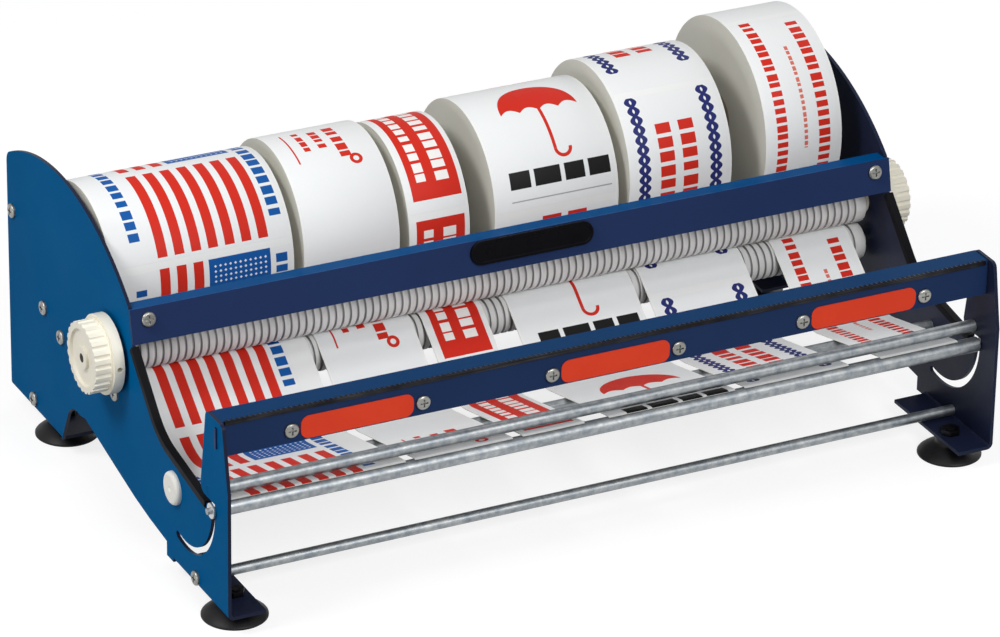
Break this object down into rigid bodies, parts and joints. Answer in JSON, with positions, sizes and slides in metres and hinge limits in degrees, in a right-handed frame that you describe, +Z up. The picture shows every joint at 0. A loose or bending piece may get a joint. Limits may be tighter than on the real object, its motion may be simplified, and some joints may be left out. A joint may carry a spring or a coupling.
{
  "type": "label dispenser",
  "caption": "Bench-top label dispenser: rolls lie in a cradle between blue side plates, a knob-turned ribbed roller feeds the strips to peel rods and a toothed tear bar, on suction feet.",
  "frame": {"origin": "middle of the footprint on the table, half way between the plates and between their front and rear edges", "axes": "+X along the rollers to the right as seen from the front, +Y towards the rear, +Z up"},
  "size_m": [0.507, 0.302, 0.1988],
  "materials": {
    "blue_paint": "semi-gloss enamel",
    "black_trim": "matte",
    "black_rubber": "satin",
    "badge_plastic": "gloss",
    "red_patch": "satin film",
    "zinc_steel": "zinc plated",
    "black_zinc": "black zinc plated",
    "blade_steel": "ground",
    "bright_rod": "polished",
    "cream_plastic": "semi-gloss",
    "ribbed_rubber": "matte",
    "label_paper": "coated",
    "core_board": "raw"
  },
  "bodies": {
    "frame": {"left_side_plate": "blue_paint", "right_side_plate": "blue_paint", "left_edge_trim": "black_trim", "right_edge_trim": "black_trim", "top_bar": "blue_paint", "top_bar_badge": "badge_plastic", "top_bar_screws": "zinc_steel", "tear_bar": "blue_paint", "tear_blade": "blade_steel", "tear_bar_screws": "zinc_steel", "tear_bar_patches": "red_patch", "upper_peel_rod": "bright_rod", "strip_support_rod": "bright_rod", "support_rod_caps": "cream_plastic", "front_tie_rod": "bright_rod", "rear_lower_tie_rod": "bright_rod", "rear_upper_tie_rod": "bright_rod", "lower_cradle_rod": "bright_rod", "upper_cradle_rod": "bright_rod", "idler_axle": "bright_rod", "left_plate_screws": "zinc_steel", "right_plate_screws": "zinc_steel", "feed_bushes": "cream_plastic", "front_left_cup": "black_rubber", "front_right_cup": "black_rubber", "rear_left_cup": "black_rubber", "rear_right_cup": "black_rubber", "cup_studs": "black_zinc", "cup_nuts": "black_zinc", "label_strip_1": "label_paper", "label_strip_2": "label_paper", "label_strip_3": "label_paper", "label_strip_4": "label_paper", "label_strip_5": "label_paper", "label_strip_6": "label_paper"},
    "feed_roller": {"feed_shaft": "bright_rod", "feed_sleeve": "ribbed_rubber", "left_knob": "cream_plastic", "right_knob": "cream_plastic", "knob_set_screws": "zinc_steel"},
    "idler_roller": {"idler_sleeve": "ribbed_rubber"},
    "swing_rod": {"swing_peel_rod": "bright_rod", "swing_rod_clips": "zinc_steel"},
    "roll_1": {"label_roll_1": "label_paper", "roll_core_1": "core_board"},
    "roll_2": {"label_roll_2": "label_paper", "roll_core_2": "core_board"},
    "roll_3": {"label_roll_3": "label_paper", "roll_core_3": "core_board"},
    "roll_4": {"label_roll_4": "label_paper", "roll_core_4": "core_board"},
    "roll_5": {"label_roll_5": "label_paper", "roll_core_5": "core_board"},
    "roll_6": {"label_roll_6": "label_paper", "roll_core_6": "core_board"}
  },
  "joints": [
    {"name": "turn_feed_roller", "type": "hinge", "parent": "frame", "child": "feed_roller", "pos_m": [0, 0.001, 0.101], "axis": [1, 0, 0], "continuous": true},
    {"name": "turn_idler_roller", "type": "hinge", "parent": "frame", "child": "idler_roller", "pos_m": [0, -0.00197, 0.07678], "axis": [1, 0, 0], "continuous": true},
    {"name": "swing_peel_rod", "type": "hinge", "parent": "frame", "child": "swing_rod", "pos_m": [0, -0.095, 0.0669], "axis": [1, 0, 0], "range_deg": [0, 100]},
    {"name": "turn_roll_1", "type": "hinge", "parent": "frame", "child": "roll_1", "pos_m": [0, 0.05672, 0.12703], "axis": [1, 0, 0], "continuous": true},
    {"name": "turn_roll_2", "type": "hinge", "parent": "frame", "child": "roll_2", "pos_m": [0, 0.0575, 0.12886], "axis": [1, 0, 0], "continuous": true},
    {"name": "turn_roll_3", "type": "hinge", "parent": "frame", "child": "roll_3", "pos_m": [0, 0.05698, 0.12764], "axis": [1, 0, 0], "continuous": true},
    {"name": "turn_roll_4", "type": "hinge", "parent": "frame", "child": "roll_4", "pos_m": [0, 0.05802, 0.13007], "axis": [1, 0, 0], "continuous": true},
    {"name": "turn_roll_5", "type": "hinge", "parent": "frame", "child": "roll_5", "pos_m": [0, 0.05978, 0.13417], "axis": [1, 0, 0], "continuous": true},
    {"name": "turn_roll_6", "type": "hinge", "parent": "frame", "child": "roll_6", "pos_m": [0, 0.06223, 0.13982], "axis": [1, 0, 0], "continuous": true}
  ],
  "couplings": [
    {"joint": "turn_idler_roller", "follows": "turn_feed_roller", "ratio": -1.1403},
    {"joint": "turn_roll_1", "follows": "turn_feed_roller", "ratio": -0.27083},
    {"joint": "turn_roll_2", "follows": "turn_feed_roller", "ratio": -0.26263},
    {"joint": "turn_roll_3", "follows": "turn_feed_roller", "ratio": -0.26804},
    {"joint": "turn_roll_4", "follows": "turn_feed_roller", "ratio": -0.25743},
    {"joint": "turn_roll_5", "follows": "turn_feed_roller", "ratio": -0.24074},
    {"joint": "turn_roll_6", "follows": "turn_feed_roller", "ratio": -0.22034}
  ]
}
